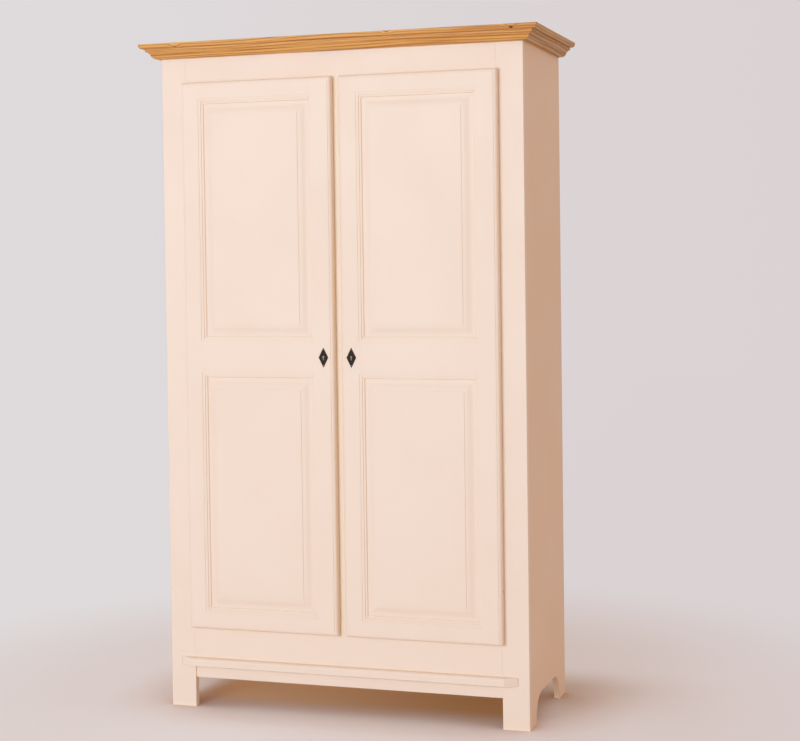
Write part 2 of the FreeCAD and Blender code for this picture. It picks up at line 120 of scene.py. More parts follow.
def rampAt(tree, value, stops):
    node = addNode(tree, "ShaderNodeValToRGB", {"Fac": value})
    ramp = node.color_ramp
    while len(ramp.elements) < len(stops):
        ramp.elements.new(0.5)
    for element, (place, colour) in zip(ramp.elements, stops):
        element.position = place
        element.color = colour
    return node.outputs["Color"]


def openness(tree, reach, samples):
    # 1 where nothing lies within reach, and less in corners and gaps
    inputs = {"Distance": reach}
    return addNode(tree, "ShaderNodeAmbientOcclusion", inputs, samples=samples).outputs["AO"]


def grainSpace(tree, along, seed):
    # object coordinates turned so that the board's length is X, shifted so that no two boards match
    place = addNode(tree, "ShaderNodeTexCoord").outputs["Object"]
    turns = {"X": (0, 0, 0), "Y": (0, 0, -math.pi / 2), "Z": (0, math.pi / 2, 0)}
    picker = random.Random(seed)
    shift = tuple(picker.uniform(-9, 9) for axis in range(3))
    inputs = {"Vector": place, "Rotation": turns[along], "Location": shift}
    return addNode(tree, "ShaderNodeMapping", inputs).outputs["Vector"], shift


def turnedPoint(along, point, shift):
    # where a point of the object lies in a board's grain space
    x, y, z = point
    turned = {"X": (x, y, z), "Y": (y, -x, z), "Z": (z, y, -x)}[along]
    return tuple(turned[axis] + shift[axis] for axis in range(3))


def softEdges(tree, radius, limits):
    # a normal that rounds the arrises, and a mask that is 1 on them
    bevel = addNode(tree, "ShaderNodeBevel", {"Radius": radius}, samples=4).outputs["Normal"]
    flat = addNode(tree, "ShaderNodeNewGeometry").outputs["Normal"]
    dot = vectorMaths(tree, "DOT_PRODUCT", bevel, flat).outputs["Value"]
    return bevel, spread(tree, dot, *limits, 1.0, 0.0)


def finishMaterial(tree, sockets, height, relief, strength, normal):
    # bump of the given relief over the rounded normal, then the shader and the output
    inputs = {"Height": height, "Distance": relief, "Strength": strength, "Normal": normal}
    bump = addNode(tree, "ShaderNodeBump", inputs)
    sockets["Normal"] = bump.outputs["Normal"]
    shader = addNode(tree, "ShaderNodeBsdfPrincipled", sockets)
    output = addNode(tree, "ShaderNodeOutputMaterial")
    tree.links.new(shader.outputs["BSDF"], output.inputs["Surface"])


paintLook = {
    "colour": (0.885, 0.720, 0.612, 1),
    "shade": (0.878, 0.708, 0.598, 1),
    # painted shade: a deeper, warmer copy of the paint for the side panels
    "shadedSideColour": (0.870, 0.670, 0.525, 1),
    "shadedSideTone": (0.862, 0.658, 0.510, 1),
    "mottleScale": 4.5,
    "mottleLimits": (0.36, 0.66),
    "grainStretch": (1.3, 42, 42),
    "grainLimits": (0.35, 0.75),
    "grainTint": 0.25,
    "brushStretch": (5, 320, 320),
    "brushLimits": (0.5, 0.8),
    "brushTint": 0.08,
    "brushMark": (0.93, 0.80, 0.70, 1),
    # painted shade: a darker orange brown for corners and creases
    "creviceShade": (0.780, 0.500, 0.320, 1),
    "creviceReach": 0.004,
    "creviceLimits": (0.25, 0.85),
    "creviceTint": 0.55,
    # painted bounce light: a lighter, warmer colour for the deeper gaps between parts
    "gap": (0.970, 0.790, 0.570, 1),
    "gapReach": 0.030,
    "gapLimits": (0.30, 0.70),
    "gapTint": 0.90,
    "openSamples": 5,
    "arris": 0.0016,
    "doorArris": 0.0004,
    "arrisLimits": (0.80, 0.995),
    "bareWood": (0.700, 0.450, 0.240, 1),
    "rubScale": 55,
    "rubLimits": (0.47, 0.68),
    "wear": 0.18,
    "rough": (0.50, 0.60),
    "roughLimits": (0.7, 1.3),
    "specular": 0.40,
    "brushHeight": 0.35,
    "grainHeight": 0.65,
    "relief": 0.0003,
    "strength": 0.25,
}


def paintedPine(name, along, seed):
    # satin paint brushed along the grain over pine
    look = dict(paintLook)
    # the side panels take a deeper, warmer copy of the paint: painted shade, as on sides that face away
    # from the light
    if "side_panel" in name:
        look["colour"] = look["shadedSideColour"]
        look["shade"] = look["shadedSideTone"]
    if "door" in name:
        look["arris"] = look["doorArris"]
    material, tree = startMaterial(name)
    space = grainSpace(tree, along, seed)[0]
    mottle = noiseAt(tree, space, look["mottleScale"], roughness=0.55)
    brush = grainNoise(tree, space, look["brushStretch"], roughness=0.6)
    grain = grainNoise(tree, space, look["grainStretch"], detail=4.0, roughness=0.55, distortion=0.6)
    patches = spread(tree, mottle, *look["mottleLimits"])
    tone = mixColour(tree, patches, look["colour"], look["shade"])
    tone = tinted(tree, tone, grain, look["grainLimits"], look["grainTint"], look["shade"])
    tone = tinted(tree, tone, brush, look["brushLimits"], look["brushTint"], look["brushMark"])
    # painted shade: in corners and creases, where the AO node finds other surfaces within a few
    # millimetres, the paint turns a darker orange brown
    near = openness(tree, look["creviceReach"], look["openSamples"])
    paintedCreviceShade = spread(tree, near, *look["creviceLimits"], look["creviceTint"], 0.0)
    # painted bounce light: in the deeper gaps between parts the paint turns lighter and warmer, as if lit
    # by bounced light
    wide = openness(tree, look["gapReach"], look["openSamples"])
    paintedGapLight = spread(tree, wide, *look["gapLimits"], look["gapTint"], 0.0)
    tone = mixColour(tree, paintedCreviceShade, tone, look["creviceShade"])
    tone = mixColour(tree, paintedGapLight, tone, look["gap"])
    rounded, arris = softEdges(tree, look["arris"], look["arrisLimits"])
    rubbing = noiseAt(tree, space, look["rubScale"], detail=4.0, roughness=0.65)
    rubbed = spread(tree, rubbing, *look["rubLimits"])
    wear = maths(tree, "MULTIPLY", maths(tree, "MULTIPLY", arris, rubbed), look["wear"])
    tone = mixColour(tree, wear, tone, look["bareWood"])
    uneven = maths(tree, "ADD", mottle, brush)
    rough = spread(tree, uneven, *look["roughLimits"], *look["rough"])
    brushed = maths(tree, "MULTIPLY", brush, look["brushHeight"])
    grained = maths(tree, "MULTIPLY", grain, look["grainHeight"])
    height = maths(tree, "ADD", brushed, grained)
    sockets = {"Base Color": tone, "Roughness": rough, "Specular IOR Level": look["specular"]}
    finishMaterial(tree, sockets, height, look["relief"], look["strength"], rounded)
    return material


waxedLook = {
    "light": (0.800, 0.430, 0.135, 1),
    "middle": (0.590, 0.245, 0.060, 1),
    "dark": (0.330, 0.112, 0.022, 1),
    "knot": (0.120, 0.040, 0.014, 1),
    "ringWidth": 0.0075,
    "streak": 0.70,
    "rough": (0.38, 0.54),
    "specular": 0.22,
    "mitre": 0.353,
    "mitreLimits": (0.0006, 0.0018),
    "mitreTint": 0.85,
}

# painted shade: the cornice's returns take darker copies of the waxed colours, as on sides that face away
# from the light
shadedReturnLook = dict(waxedLook)
shadedReturnLook["light"] = (0.640, 0.390, 0.145, 1)
shadedReturnLook["middle"] = (0.480, 0.230, 0.070, 1)
shadedReturnLook["dark"] = (0.290, 0.115, 0.028, 1)

rawLook = {
    "light": (0.770, 0.560, 0.330, 1),
    "middle": (0.700, 0.480, 0.260, 1),
    "dark": (0.540, 0.330, 0.150, 1),
    "knot": (0.220, 0.095, 0.035, 1),
    "ringWidth": 0.0060,
    "streak": 0.30,
    "rough": (0.55, 0.72),
    "specular": 0.40,
}

# the figure that all bare pine shares: how far each noise is drawn out, where it shows and how much
pineFigure = {
    "heart": (0.0, 0.09, 0.054),
    "driftStretch": (1.1, 7, 7),
    "drift": 0.050,
    "rippleStretch": (9, 60, 60),
    "ripple": 0.0016,
    "knotStretch": (0.6, 1.0, 1.0),
    "knotReach": 5,
    "knotBulge": 2.2,
    "knotCore": 0.55,
    "rings": (0.0, 0.45, 0.78, 0.93, 1.0),
    "fibreStretch": (7, 520, 520),
    "fibreLimits": (0.42, 0.72),
    "fibreTint": 0.45,
    "patchStretch": (2.2, 12, 12),
    "patchLimits": (0.45, 0.70),
    "patchTint": 0.45,
    "streakStretch": (1.6, 130, 130),
    "streakLimits": (0.50, 0.68),
    "gleamStretch": (2.4, 210, 210),
    "gleamLimits": (0.54, 0.68),
    "poreStretch": (60, 900, 900),
    "poreLimits": (0.62, 0.74),
    "poreTint": 0.35,
    "arris": 0.0008,
    "arrisLimits": (0.80, 0.995),
    "arrisTint": 0.35,
    "roughLimits": (0.35, 0.70),
    "yearHeight": 0.5,
    "poreHeight": 0.5,
    "relief": 0.0003,
    "strength": 0.5,
}


def mitreLine(tree, look):
    # strong on the two front mitres, where the length aside and the depth add up to the corner
    place = addNode(tree, "ShaderNodeTexCoord").outputs["Object"]
    parts = addNode(tree, "ShaderNodeSeparateXYZ", {"Vector": place}).outputs
    total = maths(tree, "ADD", maths(tree, "ABSOLUTE", parts["X"]), parts["Y"])
    away = maths(tree, "ABSOLUTE", maths(tree, "SUBTRACT", total, look["mitre"]))
    return spread(tree, away, *look["mitreLimits"], look["mitreTint"], 0.0)


def yearRings(tree, along, space, shift, ringWidth, knots):
    # the growth of each year from 0 to 1 beside the heart of the log, bent round the knots, and
    # a mask that is 1 on the knots
    figure = pineFigure
    centre = tuple(shift[axis] + figure["heart"][axis] for axis in range(3))
    offset = vectorMaths(tree, "SUBTRACT", space, centre).outputs[0]
    across = stretched(tree, offset, (0.0, 1.0, 1.0))
    radius = vectorMaths(tree, "LENGTH", across).outputs["Value"]
    drift = grainNoise(tree, space, figure["driftStretch"], detail=2.0)
    ripple = grainNoise(tree, space, figure["rippleStretch"], roughness=0.6)
    rings = maths(tree, "ADD", radius, maths(tree, "MULTIPLY", drift, figure["drift"]))
    rings = maths(tree, "ADD", rings, maths(tree, "MULTIPLY", ripple, figure["ripple"]))
    knotMask = None
    for x, y, z, size in knots:
        spot = turnedPoint(along, (x, y, z), shift)
        gap = vectorMaths(tree, "SUBTRACT", space, spot).outputs[0]
        gap = stretched(tree, gap, figure["knotStretch"])
        far = vectorMaths(tree, "LENGTH", gap).outputs["Value"]
        reach = size * figure["knotReach"]
        bulge = spread(tree, far, 0.0, reach, size * figure["knotBulge"], 0.0)
        rings = maths(tree, "ADD", rings, bulge)
        mask = spread(tree, far, size * figure["knotCore"], size, 1.0, 0.0)
        knotMask = mask if knotMask is None else maths(tree, "MAXIMUM", knotMask, mask)
    return maths(tree, "FRACT", maths(tree, "DIVIDE", rings, ringWidth)), knotMask


def barePine(name, along, seed, look, knots=()):
    # rings, fibres, patches, streaks and pores of a sawn pine board
    figure = pineFigure
    material, tree = startMaterial(name)
    space, shift = grainSpace(tree, along, seed)
    year, knotMask = yearRings(tree, along, space, shift, look["ringWidth"], knots)
    tones = [look[part] for part in ("light", "light", "middle", "dark", "light")]
    tone = rampAt(tree, year, list(zip(figure["rings"], tones)))
    fibre = grainNoise(tree, space, figure["fibreStretch"], roughness=0.65)
    tone = tinted(tree, tone, fibre, figure["fibreLimits"], figure["fibreTint"], look["middle"])
    patch = grainNoise(tree, space, figure["patchStretch"], roughness=0.55)
    tone = tinted(tree, tone, patch, figure["patchLimits"], figure["patchTint"], look["middle"])
    streak = grainNoise(tree, space, figure["streakStretch"], roughness=0.55, distortion=0.8)
    tone = tinted(tree, tone, streak, figure["streakLimits"], look["streak"], look["dark"])
    gleam = grainNoise(tree, space, figure["gleamStretch"], detail=2.0, distortion=0.6)
    tone = tinted(tree, tone, gleam, figure["gleamLimits"], look["streak"], look["light"])
    pores = grainNoise(tree, space, figure["poreStretch"], detail=2.0)
    tone = tinted(tree, tone, pores, figure["poreLimits"], figure["poreTint"], look["dark"])
    if knotMask is not None:
        tone = mixColour(tree, knotMask, tone, look["knot"])
    rounded, arris = softEdges(tree, figure["arris"], figure["arrisLimits"])
    tone = mixColour(tree, maths(tree, "MULTIPLY", arris, figure["arrisTint"]), tone, look["light"])
    if "mitre" in look:
        tone = mixColour(tree, mitreLine(tree, look), tone, look["dark"])
    rough = spread(tree, fibre, *figure["roughLimits"], *look["rough"])
    raised = maths(tree, "MULTIPLY", year, figure["yearHeight"])
    pitted = maths(tree, "MULTIPLY", pores, figure["poreHeight"])
    height = maths(tree, "SUBTRACT", raised, pitted)
    sockets = {"Base Color": tone, "Roughness": rough, "Specular IOR Level": look["specular"]}
    finishMaterial(tree, sockets, height, figure["relief"], figure["strength"], rounded)
    return material


ironLook = {
    "colour": (0.020, 0.011, 0.007, 1),
    "rust": (0.045, 0.020, 0.010, 1),
    "rubbed": (0.110, 0.080, 0.062, 1),
    "metal": 0.50,
    "rough": (0.45, 0.65),
    "arris": 0.0006,
}

steelLook = {
    "colour": (0.560, 0.545, 0.520, 1),
    "rust": (0.360, 0.330, 0.300, 1),
    "rubbed": (0.720, 0.710, 0.690, 1),
    "metal": 1.0,
    "rough": (0.28, 0.46),
    "arris": 0.0004,
}

brassLook = {
    "colour": (0.500, 0.370, 0.290, 1),
    "rust": (0.320, 0.210, 0.140, 1),
    "rubbed": (0.680, 0.560, 0.460, 1),
    "metal": 0.85,
    "rough": (0.30, 0.45),
    "arris": 0.0003,
}

metalFigure = {
    "cloudScale": 90,
    "cloudLimits": (0.42, 0.68),
    "speckScale": 700,
    "speckLimits": (0.55, 0.75),
    "speckTint": 0.5,
    "scratchStretch": (900, 900, 60),
    "scratchHeight": 0.4,
    "arrisLimits": (0.70, 0.99),
    "rub": 0.5,
    "roughLimits": (0.7, 1.3),
    "specular": 0.25,
    "relief": 0.0001,
    "strength": 0.4,
}


def oldMetal(name, look):
    figure = metalFigure
    material, tree = startMaterial(name)
    place = addNode(tree, "ShaderNodeTexCoord").outputs["Object"]
    cloud = noiseAt(tree, place, figure["cloudScale"], detail=4.0, roughness=0.6)
    speck = noiseAt(tree, place, figure["speckScale"], roughness=0.6)
    scratch = grainNoise(tree, place, figure["scratchStretch"], detail=2.0)
    clouds = spread(tree, cloud, *figure["cloudLimits"])
    tone = mixColour(tree, clouds, look["colour"], look["rust"])
    tone = tinted(tree, tone, speck, figure["speckLimits"], figure["speckTint"], look["rust"])
    rounded, arris = softEdges(tree, look["arris"], figure["arrisLimits"])
    tone = mixColour(tree, maths(tree, "MULTIPLY", arris, figure["rub"]), tone, look["rubbed"])
    uneven = maths(tree, "ADD", cloud, scratch)
    rough = spread(tree, uneven, *figure["roughLimits"], *look["rough"])
    scratched = maths(tree, "MULTIPLY", scratch, figure["scratchHeight"])
    height = maths(tree, "ADD", speck, scratched)
    sockets = {
        "Base Color": tone,
        "Roughness": rough,
        "Metallic": look["metal"],
        "Specular IOR Level": figure["specular"],
    }
    finishMaterial(tree, sockets, height, figure["relief"], figure["strength"], rounded)
    return material


def assign(node, material):
    nodes[node].material_slots[0].material = material


# which way the grain of each wooden piece runs
paintedGrain = {
    "Z": [
        "side_panel",
        "front_stile",
        "door_hinge_stile",
        "door_lock_stile",
        "door_lower_panel",
        "door_upper_panel",
    ],
    "X": ["door_top_rail", "door_lock_rail", "door_bottom_rail"],
}
paintedSingle = {
    "Z": ["centre_mullion"],
    "X": ["top_front_rail", "bottom_front_rail", "apron_board", "plinth_moulding"],
}
rawGrain = {
    "X": ["base_board", "top_board", "hat_shelf", "hanging_rail"],
    "Y": ["left_hat_shelf_cleat", "right_hat_shelf_cleat"],
    "Z": ["back_board_%d" % (index + 1) for index in range(backBoardCount)],
}

# knots as their place in the object and their radius
corniceKnots = {
    "cornice_front": [
        (-0.484, -0.246, 1.955, 0.0035),
        (0.529, -0.246, 1.9575, 0.0045),
        (0.170, -0.247, 1.964, 0.0025),
    ],
    "left_cornice_return": [(-0.600, 0.090, 1.955, 0.0030)],
    "right_cornice_return": [(0.590, 0.060, 1.944, 0.0030)],
}
boardKnots = {"count": 2, "aside": 0.05, "lowest": 0.4, "highest": 1.8, "radius": 0.009}
frontSeed = 64


def knotsOfBoard(box):
    # on the back of a board, at random about its middle line
    sizes = boardKnots
    middle = (box[0][0] + box[1][0]) / 2
    knots = []
    for index in range(sizes["count"]):
        x = middle + random.uniform(-sizes["aside"], sizes["aside"])
        z = random.uniform(sizes["lowest"], sizes["highest"])
        knots.append((x, box[1][1], z, sizes["radius"]))
    return knots


seed = 0
for along, names in paintedGrain.items():
    for name in names:
        for hand in ("left_", "right_"):
            seed += 1
            assign(hand + name, paintedPine("cream paint " + hand + name, along, seed))
for along, names in paintedSingle.items():
    for name in names:
        seed += 1
        assign(name, paintedPine("cream paint " + name, along, seed))
for along, names in rawGrain.items():
    for name in names:
        seed += 1
        knots = []
        if name.startswith("back_board"):
            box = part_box(name)
            knots = knotsOfBoard(box)
        assign(name, barePine("raw pine " + name, along, seed, rawLook, knots))
frontKnots = corniceKnots["cornice_front"]
assign("cornice_front", barePine("waxed pine front", "X", frontSeed, waxedLook, frontKnots))
for hand in ("left_", "right_"):
    seed += 1
    name = hand + "cornice_return"
    assign(name, barePine("waxed pine " + hand + "return", "Y", seed, shadedReturnLook, corniceKnots[name]))

steel = oldMetal("dull steel", steelLook)
iron = oldMetal("dark iron", ironLook)
brass = oldMetal("worn brass", brassLook)
for hand in ("left_", "right_"):
    assign(hand + "escutcheon", iron)
    for name in ["lower_frame_leaf", "upper_frame_leaf", "lower_door_leaf", "upper_door_leaf"]:
        assign(hand + name, steel)
    for name in ["door_hinge_pins", "lock_case", "lock_bolt", "strike_plate", "rail_socket"]:
        assign(hand + name, steel)
print("materials done", len(bpy.data.materials))


def deselectAll():
    if bpy.context.mode != "OBJECT":
        bpy.ops.object.mode_set(mode="OBJECT")
    bpy.ops.object.select_all(action="DESELECT")


def pick(piece):
    deselectAll()
    piece.select_set(True)
    bpy.context.view_layer.objects.active = piece


def newest(name):
    piece = bpy.context.object
    piece.name = name
    piece.data.name = name
    return piece


def settle(piece):
    # place, turn and scale go into the mesh
    pick(piece)
    bpy.ops.object.transform_apply(location=True, rotation=True, scale=True)


def bevelEdges(piece, chosen, offset, segments):
    # rounds the edges for which chosen(edge) holds
    pick(piece)
    bpy.ops.object.mode_set(mode="EDIT")
    bpy.ops.mesh.select_mode(type="EDGE")
    bpy.ops.mesh.select_all(action="DESELECT")
    mesh = bmesh.from_edit_mesh(piece.data)
    for edge in mesh.edges:
        edge.select_set(chosen(edge))
    bmesh.update_edit_mesh(piece.data)
    bpy.ops.mesh.bevel(offset=offset, segments=segments, affect="EDGES")
    bpy.ops.object.mode_set(mode="OBJECT")


def cutWith(piece, cutter, operation="DIFFERENCE"):
    deselectAll()
    bpy.context.view_layer.objects.active = piece
    change = piece.modifiers.new("cut", "BOOLEAN")
    change.operation = operation
    change.solver = "EXACT"
    change.object = cutter
    bpy.ops.object.modifier_apply(modifier=change.name)
    bpy.data.objects.remove(cutter, do_unlink=True)


def smoothByAngle(piece, degrees=35):
    pick(piece)
    bpy.ops.object.shade_smooth_by_angle(angle=math.radians(degrees))


def copiesAt(master, name, places):
    # one object from copies of the master, each turned to its facing and spun about it
    copies = []
    for point, facing, spin in places:
        copy = master.copy()
        copy.data = master.data.copy()
        bpy.context.collection.objects.link(copy)
        turn = Vector((0, 0, 1)).rotation_difference(Vector(facing)).to_matrix().to_4x4()
        copy.data.transform(Matrix.Translation(point) @ turn @ Matrix.Rotation(spin, 4, "Z"))
        copies.append(copy)
    deselectAll()
    for copy in copies:
        copy.select_set(True)
    bpy.context.view_layer.objects.active = copies[0]
    bpy.ops.object.join()
    return newest(name)


def dress(piece, body, material):
    piece.data.materials.clear()
    piece.data.materials.append(material)
    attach(piece, body)


screwSizes = {
    "radius": 0.0031,
    "smallRadius": 0.0024,
    "rise": 0.0009,
    "sunk": 0.0006,
    "dome": 0.95,
    "slotWidth": 0.0008,
    "slotDepth": 0.0007,
    "sawReach": 3,
}


def modelScrewHead(name, radius):
    # a domed countersunk head with a sawn slot, facing +Z
    sizes = screwSizes
    height = sizes["rise"] + sizes["sunk"]
    middle = (sizes["rise"] - sizes["sunk"]) / 2
    bpy.ops.mesh.primitive_cylinder_add(vertices=24, radius=radius, depth=height, location=(0, 0, middle))
    head = newest(name)
    settle(head)
    rim = lambda edge: all(vert.co.z > middle for vert in edge.verts)
    bevelEdges(head, rim, sizes["rise"] * sizes["dome"], segments=3)
    bpy.ops.mesh.primitive_cube_add(size=1, location=(0, 0, sizes["rise"]))
    saw = newest("saw")
    saw.scale = (radius * sizes["sawReach"], sizes["slotWidth"], sizes["slotDepth"] * 2)
    settle(saw)
    cutWith(head, saw)
    smoothByAngle(head)
    return head


nailSizes = {"radius": 0.0022, "rise": 0.00015, "sunk": 0.0006, "dome": 0.7}
pinSizes = {"radius": 0.0011, "rise": 0.0006, "sunk": 0.0006, "dome": 0.7}


def modelNailHead(name, sizes):
    # a low head with a rounded rim, facing +Z
    height = sizes["rise"] + sizes["sunk"]
    middle = (sizes["rise"] - sizes["sunk"]) / 2
    bpy.ops.mesh.primitive_cylinder_add(
        vertices=12, radius=sizes["radius"], depth=height, location=(0, 0, middle))
    head = newest(name)
    settle(head)
    rim = lambda edge: all(vert.co.z > 0 for vert in edge.verts)
    bevelEdges(head, rim, sizes["rise"] * sizes["dome"], segments=2)
    smoothByAngle(head)
    return head


screw = modelScrewHead("screw", screwSizes["radius"])
smallScrew = modelScrewHead("smallScrew", screwSizes["smallRadius"])
nail = modelNailHead("nail", nailSizes)


def facePlaces(hand, node, face, spots):
    # points on one face of a node's box, given as shares of its other two sides
    low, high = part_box(hand + node)
    axis = "xyz".index(face[1])
    outward = 1 if face[0] == "+" else -1
    facing = [0, 0, 0]
    facing[axis] = outward
    places = []
    for first, second in spots:
        point = [0, 0, 0]
        shares = [first, second]
        for other in range(3):
            if other == axis:
                point[other] = high[other] if outward > 0 else low[other]
            else:
                point[other] = low[other] + (high[other] - low[other]) * shares.pop(0)
        places.append((tuple(point), tuple(facing), random.uniform(0, math.pi)))
    return places


# X and Y of the faces that the screws sit on, and shares of a piece's sides
screwPlaces = {
    "frameLeafX": 0.470,
    "frameLeafY": -0.187,
    "frameLeaf": (0.14, 0.86),
    "doorLeafX": 0.452,
    "doorLeaf": (0.2, 0.8),
    "lockCase": [(0.16, 0.1), (0.84, 0.1), (0.16, 0.9), (0.84, 0.9)],
    "strike": [(0.5, 0.12), (0.5, 0.88)],
    "socketX": 0.530,
    "socketCircle": 0.0235,
    "socketAngles": (90, 210, 330),
    "cleat": [(0.1, 0.5), (0.5, 0.5), (0.9, 0.5)],
}

for hand, sign in (("right_", 1), ("left_", -1)):
    inward = "-x" if sign > 0 else "+x"
    outward = "+x" if sign > 0 else "-x"
    frameScrews = []
    doorScrews = []
    for level in ("lower_", "upper_"):
        low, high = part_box(hand + level + "frame_leaf")
        for share in screwPlaces["frameLeaf"]:
            z = low[2] + (high[2] - low[2]) * share
            point = (screwPlaces["frameLeafX"] * sign, screwPlaces["frameLeafY"], z)
            frameScrews.append((point, (-sign, 0, 0), random.uniform(0, math.pi)))
        low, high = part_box(hand + level + "door_leaf")
        for share in screwPlaces["doorLeaf"]:
            point = (screwPlaces["doorLeafX"] * sign, high[1], low[2] + (high[2] - low[2]) * share)
            doorScrews.append((point, (0, 1, 0), random.uniform(0, math.pi)))
    doorScrews += facePlaces(hand, "lock_case", "+y", screwPlaces["lockCase"])
    dress(copiesAt(screw, hand + "hinge_frame_screws", frameScrews), "carcass", steel)
    dress(copiesAt(screw, hand + "door_fitting_screws", doorScrews), hand + "door", steel)
    strikeScrews = facePlaces(hand, "strike_plate", outward, screwPlaces["strike"])
    dress(copiesAt(smallScrew, hand + "strike_screws", strikeScrews), "carcass", steel)
    low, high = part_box(hand + "rail_socket")
    middle = ((low[1] + high[1]) / 2, (low[2] + high[2]) / 2)
    socketScrews = []
    for degrees in screwPlaces["socketAngles"]:
        y = middle[0] + screwPlaces["socketCircle"] * math.cos(math.radians(degrees))
        z = middle[1] + screwPlaces["socketCircle"] * math.sin(math.radians(degrees))
        point = (screwPlaces["socketX"] * sign, y, z)
        socketScrews.append((point, (-sign, 0, 0), random.uniform(0, math.pi)))
    dress(copiesAt(smallScrew, hand + "socket_screws", socketScrews), "carcass", steel)
    cleatScrews = facePlaces(hand, "hat_shelf_cleat", inward, screwPlaces["cleat"])
    dress(copiesAt(screw, hand + "cleat_screws", cleatScrews), "carcass", steel)

# two nails side by side in each back board, into the base board, the shelf and the top board
nailPlaces = {
    "heights": (0.240, 1.611, 1.917),
    "shares": (0.22, 0.72),
    "aside": 0.004,
    "upDown": 0.003,
}

backNails = []
for index in range(backBoardCount):
    low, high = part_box("back_board_%d" % (index + 1))
    for level in nailPlaces["heights"]:
        for share in nailPlaces["shares"]:
            x = low[0] + (high[0] - low[0]) * share
            x += random.uniform(-nailPlaces["aside"], nailPlaces["aside"])
            z = level + random.uniform(-nailPlaces["upDown"], nailPlaces["upDown"])
            backNails.append(((x, high[1], z), (0, 1, 0), 0.0))
dress(copiesAt(nail, "back_nails", backNails), "carcass", steel)

pin = modelNailHead("pin", pinSizes)
pinFromMiddle = 0.0225
keySizes = {
    "radius": 0.0027,
    "slot": 0.0025,
    "drop": 0.009,
    "wall": 0.0006,
    "depth": 0.006,
    "lift": 0.002,
    "proud": 0.0002,
    "hollowStart": 0.002,
    "hollowDepth": 0.012,
    "post": 0.0009,
    "postLength": 0.022,
    "postMiddle": 0.0135,
    "postFront": 0.006,
    "postRounding": 0.0004,
}


def keyholeBlank(name, x, z, radius, slotWidth, drop, front, depth):
    # a round bar with a fin below it, along Y
    middle = front + depth / 2
    bpy.ops.mesh.primitive_cylinder_add(
        vertices=32, radius=radius, depth=depth, location=(x, middle, z), rotation=(math.pi / 2, 0, 0))
    bar = newest(name)
    settle(bar)
    bpy.ops.mesh.primitive_cube_add(size=1, location=(x, middle, z - drop / 2))
    fin = newest("fin")
    fin.scale = (slotWidth, depth, drop)
    settle(fin)
    cutWith(bar, fin, "UNION")
    return bar


def modelKeyhole(hand, x, z, front):
    # the bush that lines the keyhole
    sizes = keySizes
    wall = sizes["wall"]
    bush = keyholeBlank(
        hand + "keyhole_bush", x, z, sizes["radius"], sizes["slot"], sizes["drop"],
        front - sizes["proud"], sizes["depth"])
    hollow = keyholeBlank(
        "hollow", x, z, sizes["radius"] - wall, sizes["slot"] - 2 * wall, sizes["drop"] - wall,
        front - sizes["hollowStart"], sizes["hollowDepth"])
    cutWith(bush, hollow)
    smoothByAngle(bush)
    return bush


def modelKeyPost(hand, x, z, front):
    # the post that a hollow key turns on, with a rounded front end
    sizes = keySizes
    bpy.ops.mesh.primitive_cylinder_add(
        vertices=16, radius=sizes["post"], depth=sizes["postLength"],
        location=(x, front + sizes["postMiddle"], z), rotation=(math.pi / 2, 0, 0))
    post = newest(hand + "key_post")
    settle(post)
    limit = front + sizes["postFront"]
    rim = lambda edge: all(vert.co.y < limit for vert in edge.verts)
    bevelEdges(post, rim, sizes["postRounding"], segments=3)
    smoothByAngle(post)
    return post


for hand in ("right_", "left_"):
    low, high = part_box(hand + "escutcheon")
    x = (low[0] + high[0]) / 2
    z = (low[2] + high[2]) / 2
    front = low[1]
    pins = [((x, front, z + side * pinFromMiddle), (0, -1, 0), 0.0) for side in (1, -1)]
    dress(copiesAt(pin, hand + "escutcheon_pins", pins), hand + "door", brass)
    top = z + keySizes["lift"]
    dress(modelKeyhole(hand, x, top, front), hand + "door", brass)
    dress(modelKeyPost(hand, x, top, front), hand + "door", steel)

for master in (screw, smallScrew, nail, pin):
    bpy.data.objects.remove(master, do_unlink=True)
print("fittings done")


# places on the floor are X from the middle and Y to the back, each as two ends of a soft change
stageLook = {
    "floorRadius": 14.0,
    "floor": (1.000, 0.965, 1.000, 1),
    "floorCloud": (0.985, 0.945, 0.975, 1),
    "cloudScale": 1.4,
    "cloudLimits": (0.4, 0.7),
    "haze": 0.42,
    "hazeLimits": (0.70, 1.0),
    "fade": (0.9, 2.0),
    # painted brown shade on the floor under the wardrobe, paler on the left than on the right
    "underShadeLeft": (0.980, 0.740, 0.480, 1),
    "underShadeRight": (0.650, 0.420, 0.210, 1),
    "underTurn": (-0.45, 0.45),
    "underSides": (0.44, 0.58),
    "underFront": (-0.19, -0.02),
    "underBack": (0.14, 0.26),
    # painted contact shadow on the floor close to the wardrobe
    "contactShadow": (0.720, 0.580, 0.500, 1),
    "contactReach": 0.28,
    "contactLimits": (0.30, 0.97),
    "openSamples": 6,
    "shadow": (0.794, 0.729, 0.666, 1),
    "shadowRight": (0.50, 1.10),
    "shadowLeft": (-0.80, -0.30),
    "shadowFront": (-0.20, 0.28),
    "shadowBack": (0.28, 0.60),
    "floorBounce": (0.900, 0.800, 0.720, 1),
    "backdropLeft": (0.738, 0.704, 0.712, 1),
    "backdropRight": (0.703, 0.642, 0.652, 1),
    "backdropTurn": (-0.55, -0.05),
}
lightLook = {
    "fill": (0.785, 0.622, 0.512, 1),
    "fillAbove": (0.540, 0.430, 0.358, 1),
    "fillTurn": (0.1, 0.9),
    "key": (0.610, 0.830, 0.985),
    "keyPower": 550.0,
    "keyPlace": (-2.1, -9.6, 2.1),
    "keyAim": (0.0, 0.0, 1.0),
    "keySize": 5.0,
}


